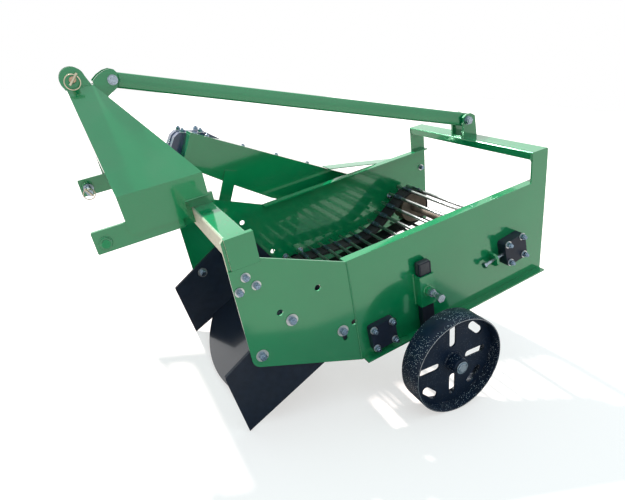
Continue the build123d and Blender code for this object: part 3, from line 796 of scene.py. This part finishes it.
# Screw threads on the leg clamps and on the web's tension bolts.
screws = {"clamp": {"start": 326, "end": 381, "radius": 8, "pitch": 1.75},
          "tension": {"start": 41.5, "end": 111, "radius": 5, "pitch": 1.5, "y": 317, "turn": radians(-8)}}


def threadMesh(origin, axis, screw):
    root, crest = screw["radius"] * 0.86, screw["radius"] * 1.02
    profile = [(0.01, screw["start"])]
    for k in range(int((screw["end"] - screw["start"]) / screw["pitch"])):
        t = screw["start"] + k * screw["pitch"]
        profile += [(root, t), (crest, t + screw["pitch"] / 2)]
    return spinMesh(profile + [(root, screw["end"]), (0.01, screw["end"])], origin, axis, 20)


for name, s in sides:
    thread = threadMesh(home(leg["u"], 0, leg["clampV"]), Vector((0, s, 0)), screws["clamp"])
    place(f"clampThread_{name}", thread, "bright_steel", "frame")
    tension = screws["tension"]
    along = way(cos(tension["turn"]), 0, sin(tension["turn"]))
    thread = threadMesh(home(web["drive"][0], s * tension["y"], web["drive"][1]), along, tension)
    place(f"tensionThread_{name}", thread, "bright_steel", "frame")
print("legs capped, screws threaded")

# Bolts, in metres: one row of a table is a place on the plate or housing.
bolts = {
    "frameBolt": {"Head Radius": 0.0088, "Head Height": 0.0085, "Washer Radius": 0.0122,
                  "Washer Thickness": 0.0022, "Tail Radius": 0.005, "Tail Length": 0.004},
    "bladeBolt": {"Head Radius": 0.0105, "Head Height": 0.01, "Washer Radius": 0.0165,
                  "Washer Thickness": 0.003, "Tail Radius": 0.006, "Tail Length": 0.004},
    "bearingBolt": {"Head Radius": 0.0088, "Head Height": 0.0075, "Washer Radius": 0.0112,
                    "Washer Thickness": 0.0022, "Tail Radius": 0.005, "Tail Length": 0.0075},
    "gearboxBolt": {"Head Radius": 0.0085, "Head Height": 0.007, "Washer Radius": 0.0105,
                    "Washer Thickness": 0.002, "Tail Radius": 0.0045, "Tail Length": 0.006},
    "coverBolt": {"Head Radius": 0.0062, "Head Height": 0.0045, "Washer Radius": 0.0078,
                  "Washer Thickness": 0.0012, "Tail Radius": 0.003, "Tail Length": 0.001},
}


def boltRow(name, kind, rows, seed=1):
    grow(name, pointMesh(rows), "bolts", {**bolts[kind], "Seed": seed}, "nutZinc", "frame")


def boltsAt(y, points, side):
    return [(home(u, y, v), (0, side, 0)) for u, v in points]


plateBolts = {"beam": [(3, -77), (-18, -107), (26, -109)], "blade": [(-86, -239), (12, -304), (-221, -337)],
              "rear": [(-956, -202)], "guard": [(-780, -144), (-860, -160)], "guardSheet": 3}
bearings = [{"centre": (-824.5, -302), "half": (28, 32), "thick": 32, "turn": radians(-8)},
            {"centre": (-337.5, -395.5), "half": (31, 31), "thick": 20, "turn": radians(-2.5)}]


def bearingCorners(bearing):
    (cu, cv), (du, dv), turn = bearing["centre"], bearing["half"], bearing["turn"]
    return [(cu + a * du * cos(turn) - b * dv * sin(turn), cv + a * du * sin(turn) + b * dv * cos(turn))
            for a in (1, -1) for b in (1, -1)]


def boltPlates():
    outside, inside, nutFace = body["half"], body["half"] - body["sheet"], body["half"] - body["nutFace"]
    rows, bladeRows, bearingRows = [], [], []
    for s in (1, -1):
        rows += boltsAt(s * outside, plateBolts["beam"], s) + boltsAt(s * nutFace, plateBolts["beam"], -s)
        rows += boltsAt(s * inside, plateBolts["rear"], -s)
        bladeRows += boltsAt(s * outside, plateBolts["blade"], s)
        bladeRows += boltsAt(s * nutFace, plateBolts["blade"][:2], -s)  # the third has no nut inside
        for bearing in bearings:
            bearingRows += boltsAt(s * (outside + bearing["thick"]), bearingCorners(bearing), s)
            rows += boltsAt(s * inside, bearingCorners(bearing), -s)
    rows += boltsAt(-outside - plateBolts["guardSheet"], plateBolts["guard"], -1)
    boltRow("frameBolts", "frameBolt", rows)
    boltRow("bladeBolts", "bladeBolt", bladeRows, 4)
    boltRow("bearingBolts", "bearingBolt", bearingRows, 9)


boltPlates()
print("plates bolted")

# Gearbox and chain case: cover screws and a cast seam.
gearbox = {"inside": -403.3, "outside": -490, "top": ((-64, 158), (-152, 136)), "boltIn": (14, 10),
           "outline": [(-22, 62), (-22, 112), (-46, 148), (-64, 158), (-152, 136), (-202, 96), (-202, 62),
                       (-176, 36.3), (-60, 36.3)],
           "seam": {"near": -441, "far": -451, "edge": 1.5, "grow": (1.035, 1.045)}}
chainCase = {"outline": [(-92, 160), (-36, 64), (-96, 17), (-186, -51), (-317, -144), (-555, -271),
                         (-806, -352), (-848, -352), (-874, -330), (-876, -296), (-852, -264), (-555, -99)],
             "y": -403, "boltIn": 9, "boltGap": 110,
             "strip": {"y": -372, "run": (-463, -259), "normal": (-0.488, 0.873),
                       "shares": (0.12, 0.37, 0.62, 0.87)}}


def gearboxBolts():
    (topU, topV), (lowU, lowV) = gearbox["top"]
    inU, inY = gearbox["boltIn"]
    slant = (topV - lowV) / (topU - lowU)  # slight enough to stand for its angle too
    rows = []
    for u in (topU - inU, lowU + inU):
        for y in (gearbox["inside"] - inY, gearbox["outside"] + inY):
            rows.append((home(u, y, topV - (topU - u) * slant), way(-sin(slant), 0, cos(slant))))
    return rows


def caseBolts():
    outline, strip = chainCase["outline"], chainCase["strip"]
    (startU, startV), (runU, runV), (tiltU, tiltV) = outline[0], strip["run"], strip["normal"]
    rows = [(home(startU + runU * share, strip["y"], startV + runV * share), way(tiltU, 0, tiltV))
            for share in strip["shares"]]
    for (u, v), after in zip(outline, outline[1:] + outline[:1]):
        du, dv = after[0] - u, after[1] - v
        long = hypot(du, dv)
        count = max(1, round(long / chainCase["boltGap"]))
        inU, inV = dv / long * chainCase["boltIn"], -du / long * chainCase["boltIn"]
        spots = [(u + du * (j + 0.5) / count + inU, v + dv * (j + 0.5) / count + inV) for j in range(count)]
        rows += boltsAt(chainCase["y"], spots, -1)
    return rows


def gearboxSeam():
    outline, seam = gearbox["outline"], gearbox["seam"]
    middle = [sum(point[k] for point in outline) / len(outline) for k in (0, 1)]
    rim = [[middle[k] + (point[k] - middle[k]) * seam["grow"][k] for k in (0, 1)] for point in outline]
    return plateMesh([rim], seam["near"], seam["far"], seam["edge"])


boltRow("gearboxBolts", "gearboxBolt", gearboxBolts(), 6)
boltRow("coverBolts", "coverBolt", caseBolts(), 3)
place("gearboxSeam", gearboxSeam(), "gearbox_paint", "frame")
print("gearbox and chain case dressed")

# Input stub: six splines on the round shaft, with a groove round them.
spline = {"count": 6, "outer": 17.3, "root": 14.9, "start": -11.7, "end": 83, "groove": (55, 62),
          "grooveDepth": 0.84, "slope": 1.5, "tip": 2, "tipScale": 0.9, "at": (0, -445, 95),
          "tooth": ((-0.21, "root"), (-0.19, "outer"), (0.19, "outer"), (0.21, "root"))}


def splineRing(t, scale=1.0):
    ring = []
    for k in range(spline["count"]):
        for offset, height in spline["tooth"]:
            u, v = bend((0, 0), spline[height] * scale, k * 2 * pi / spline["count"] + offset)
            ring.append((u, v, t))
    return ring


def splineMesh():
    grooveIn, grooveOut = spline["groove"]
    deep, slope, end = spline["grooveDepth"], spline["slope"], spline["end"]
    stations = ((spline["start"], 1.0), (grooveIn, 1.0), (grooveIn + slope, deep), (grooveOut - slope, deep),
                (grooveOut, 1.0), (end - spline["tip"], 1.0), (end, spline["tipScale"]))
    turned = way(1, 0, 0).to_track_quat("Z", "Y").to_matrix()
    origin = home(*spline["at"])
    shape = bmesh.new()
    rings = [[shape.verts.new(origin + turned @ Vector(point) / 1000) for point in splineRing(t, scale)]
             for t, scale in stations]
    skin(shape, rings, looped=False)
    shape.faces.new(rings[0])
    shape.faces.new(rings[-1])
    return closedMesh(shape, "splines", 25)


place("splinedStub", splineMesh(), "bright_steel", "frame", ["input_shaft"])

# Tie strap: a box section with rolled corners, which reaches past its two bolts.
strap = {"front": (98, -305, 372), "rear": (-944, -28, 28), "wide": 36, "high": 44, "past": 18,
         "corner": 6.5, "segments": 6}


def strapMesh():
    start, end = home(*strap["front"]), home(*strap["rear"])
    along = (end - start).normalized()
    upright = along.cross(-across).normalized()
    lateral = upright.cross(along).normalized()
    size = ((end - start).length + 2 * strap["past"] / 1000, strap["high"] / 1000, strap["wide"] / 1000)
    shape = bmesh.new()
    bmesh.ops.create_cube(shape, size=1)
    for vertex in shape.verts:
        vertex.co = Vector([part * long for part, long in zip(vertex.co, size)])
    lengthwise = [edge for edge in shape.edges if abs(edge.verts[1].co.x - edge.verts[0].co.x) > size[0] / 2]
    bmesh.ops.bevel(shape, geom=lengthwise, offset=strap["corner"] / 1000, segments=strap["segments"],
                    affect="EDGES", profile=0.5)
    for vertex in shape.verts:
        x, y, z = vertex.co
        vertex.co = (start + end) / 2 + along * x + upright * y + lateral * z
    return closedMesh(shape, "strap")


place("strapTube", strapMesh(), "green_paint", "frame", ["tie_strap"])

# Hitch: the top pin with its head, ring clips, and a round end on each lower pin. Profiles are (radius, y).
hitch = {"pin": (200, 394), "lower": (268, 12.6), "clipY": -250, "lowerClipIn": 80,
         "topPin": [(0.01, -372), (13, -372), (14, -370), (14, -364), (13, -362), (9.4, -362), (9.4, -256),
                    (7, -253), (0.01, -253)],
         "pinEnd": [(0.01, 13.97), (10.4, 13.97), (11.2, 13.2), (11.3, 8.6), (15.2, 8.3), (15.6, 7.4),
                    (15.6, 0.4)]}
clipWire = {"drop": (3, -5), "steps": 40, "weave": 1.5, "barLift": 2.5, "barScale": 2.3}


def ringClip(u, v, y, lean, size=20.5, wire=1.6):
    middle = (u + clipWire["drop"][0], v + clipWire["drop"][1])
    turned = [bend(middle, size, lean + k * 2 * pi / clipWire["steps"]) for k in range(clipWire["steps"])]
    weave = [y + clipWire["weave"] * sin(k / 6) for k in range(clipWire["steps"])]
    ring = wireMesh([home(a, depth, b) for (a, b), depth in zip(turned, weave)], wire, True)
    ends = [bend((u, v), size + 1, lean), bend((u, v), size * 0.8, lean + pi)]
    bar = wireMesh(lineAt(y + clipWire["barLift"], ends), wire * clipWire["barScale"])
    return joined([ring, bar])


def dressHitch():
    pinU, pinV = hitch["pin"]
    lowU, lowV = hitch["lower"]
    place("topPin", spinMesh(hitch["topPin"], home(pinU, 0, pinV), across, 28), "goldSteel", "frame")
    lowerClipY = body["hitchY"] - body["barHalf"] + hitch["lowerClipIn"]
    clips = [ringClip(pinU, pinV, hitch["clipY"], radians(135)),
             ringClip(lowU, lowV, lowerClipY, radians(60), 19, 1.9)]
    place("ringClips", joined(clips), "clipWire", "frame")
    for name, s in sides:
        origin = home(lowU, body["hitchY"] + s * body["barHalf"], lowV)
        pinEnd = spinMesh(outward(hitch["pinEnd"], s), origin, across, 32)
        place(f"pinEnd_{name}", pinEnd, "green_paint", "frame")


dressHitch()

# Weld beads on the green sheet. A seam is its two ends; a tower seam also says how far it lies from the
# hitch's middle.
plateSeams = {"lift": 0.3, "corner": [(-265, -143), (-265, -455)], "sleeveGap": 0.6,
              "nut": {"y": 330.6, "radius": 13.6}, "pin": {"lift": 0.6, "radius": 15.6},
              "archFoot": [[(-984, -56), (-984, -34)], [(-921, -56), (-921, -34)]],
              "archUnder": [(-983, -55.4), (-922, -55.4)]}
skirtFace = body["barHalf"] + body["sheet"] + 0.4  # just outside the tower's skirt
towerSeams = [((-28.3, 28.3), [(125.2, 331), (151.4, 369)]),
              ((-25.3, 25.3, -33.4, 33.4), [(160, 370.6), (222, 370.6)]),
              ((skirtFace, -skirtFace), [(-20, 56), (44, 56)])]


def sideSeams(s):
    outer, inner = body["half"] + plateSeams["lift"], body["half"] - body["sheet"]
    nut, pin = plateSeams["nut"], plateSeams["pin"]
    seams = [lineAt(s * outer, plateSeams["corner"])]
    for side in (1, -1):
        edge = leg["u"] + side * (leg["sleeveHalf"] + plateSeams["sleeveGap"])
        seams.append(lineAt(s * outer, [(edge, v) for v in leg["sleeve"]]))
    seams.append(ringAt(s * nut["y"], (leg["u"], leg["clampV"]), nut["radius"], 24))
    barFace = body["hitchY"] + s * (body["barHalf"] + pin["lift"])
    seams.append(ringAt(barFace, hitch["lower"], pin["radius"], 28))
    seams += [lineAt(s * inner, seam) for seam in plateSeams["archFoot"]]
    seams.append(lineAt(s * (inner - plateSeams["lift"]), plateSeams["archUnder"]))
    return seams


greenSeams = sideSeams(1) + sideSeams(-1)
greenSeams += [lineAt(body["hitchY"] + off, seam) for offsets, seam in towerSeams for off in offsets]
grow("greenWelds", seamMesh(greenSeams), "beads", {"Bead Radius": 0.0026, "Spacing": 0.002, "Seed": 2},
     "green_paint", "frame")
print("hitch, strap and welds dressed")

# Floor: pale paper that shows near white to the camera and still takes the shadow.
paper = {"reach": 14, "z": -0.0004, "colour": (0.46, 0.38, 0.345), "rough": 0.9, "glow": 0.58,
         "glowColour": (1.0, 0.98, 0.96)}


def paperFinish():
    material = bpy.data.materials.new("paleFloor")
    material.use_nodes = True
    tree = material.node_tree
    plain = tree.nodes["Principled BSDF"]
    plain.inputs["Base Color"].default_value = (*paper["colour"], 1)
    plain.inputs["Roughness"].default_value = paper["rough"]
    glow = tree.nodes.new("ShaderNodeEmission")
    glow.inputs["Color"].default_value = (*paper["glowColour"], 1)
    seen = tree.nodes.new("ShaderNodeLightPath").outputs["Is Camera Ray"]
    tree.links.new(maths(tree, "MULTIPLY", seen, paper["glow"]), glow.inputs["Strength"])
    both = tree.nodes.new("ShaderNodeAddShader")
    tree.links.new(plain.outputs[0], both.inputs[0])
    tree.links.new(glow.outputs[0], both.inputs[1])
    tree.links.new(both.outputs[0], tree.nodes["Material Output"].inputs["Surface"])
    return material


def layFloor():
    turns = ((-1, -1), (1, -1), (1, 1), (-1, 1))
    corners = [(x * paper["reach"], y * paper["reach"], paper["z"]) for x, y in turns]
    sheet = bpy.data.meshes.new("floorSheet")
    sheet.from_pydata(corners, [], [(0, 1, 2, 3)])
    sheet.materials.append(paperFinish())
    floor = bpy.data.objects.new("floorSheet", sheet)
    scene.collection.objects.link(floor)


# World: a pale sky that lights from above, and plain white where it is seen.
room = {"sky": (0.6, 0.86, 1.0), "low": 0.15, "high": 1.9, "horizon": 0.05}


def lightRoom():
    world = bpy.data.worlds.new("paleRoom")
    scene.world = world
    world.use_nodes = True
    tree = world.node_tree
    sky = tree.nodes["Background"]
    sky.inputs["Color"].default_value = (*room["sky"], 1)
    split = tree.nodes.new("ShaderNodeSeparateXYZ")
    tree.links.new(tree.nodes.new("ShaderNodeTexCoord").outputs["Generated"], split.inputs[0])
    strength = ramp(tree, split.outputs["Z"], room["horizon"], 1.0, room["low"], room["high"])
    tree.links.new(strength, sky.inputs["Strength"])
    white = tree.nodes.new("ShaderNodeBackground")
    white.inputs["Color"].default_value = (1, 1, 1, 1)
    ray = tree.nodes.new("ShaderNodeLightPath").outputs
    seen = maths(tree, "MAXIMUM", ray["Is Camera Ray"], ray["Is Transmission Ray"])
    seen = maths(tree, "MAXIMUM", seen, ray["Is Glossy Ray"])
    blend = tree.nodes.new("ShaderNodeMixShader")
    for k, output in enumerate((seen, sky.outputs[0], white.outputs[0])):
        tree.links.new(output, blend.inputs[k])
    tree.links.new(blend.outputs[0], tree.nodes["World Output"].inputs["Surface"])


lamps = {"sun": {"from": (0.32, -1.0, 1.0), "energy": 7.6, "angle": 3},
         "fill": {"from": (0.4, 3.0, 1.4), "energy": 0.1, "angle": 50}}


def hangLamps():
    for name, spec in lamps.items():
        data = bpy.data.lights.new(name, "SUN")
        data.energy = spec["energy"]
        data.angle = radians(spec["angle"])
        lamp = bpy.data.objects.new(name, data)
        lamp.rotation_euler = Vector(spec["from"]).to_track_quat("Z", "Y").to_euler()
        scene.collection.objects.link(lamp)


view = {"place": (0.705318, 1.438006, 0.929513), "turn": (69.9494, -2.5059, 153.6966),
        "lens": 29.0626, "sensor": 36, "nearest": 0.05}


def setCamera():
    data = bpy.data.cameras.new("mainView")
    data.lens = view["lens"]
    data.sensor_width = view["sensor"]
    data.clip_start = view["nearest"]
    camera = bpy.data.objects.new("mainView", data)
    turn = Euler([radians(angle) for angle in view["turn"]])
    camera.matrix_world = Matrix.LocRotScale(Vector(view["place"]), turn, None)
    scene.collection.objects.link(camera)
    scene.camera = camera


layFloor()
lightRoom()
hangLamps()
setCamera()
scene.view_settings.view_transform = "Standard"
print("floor, lamps and camera set")
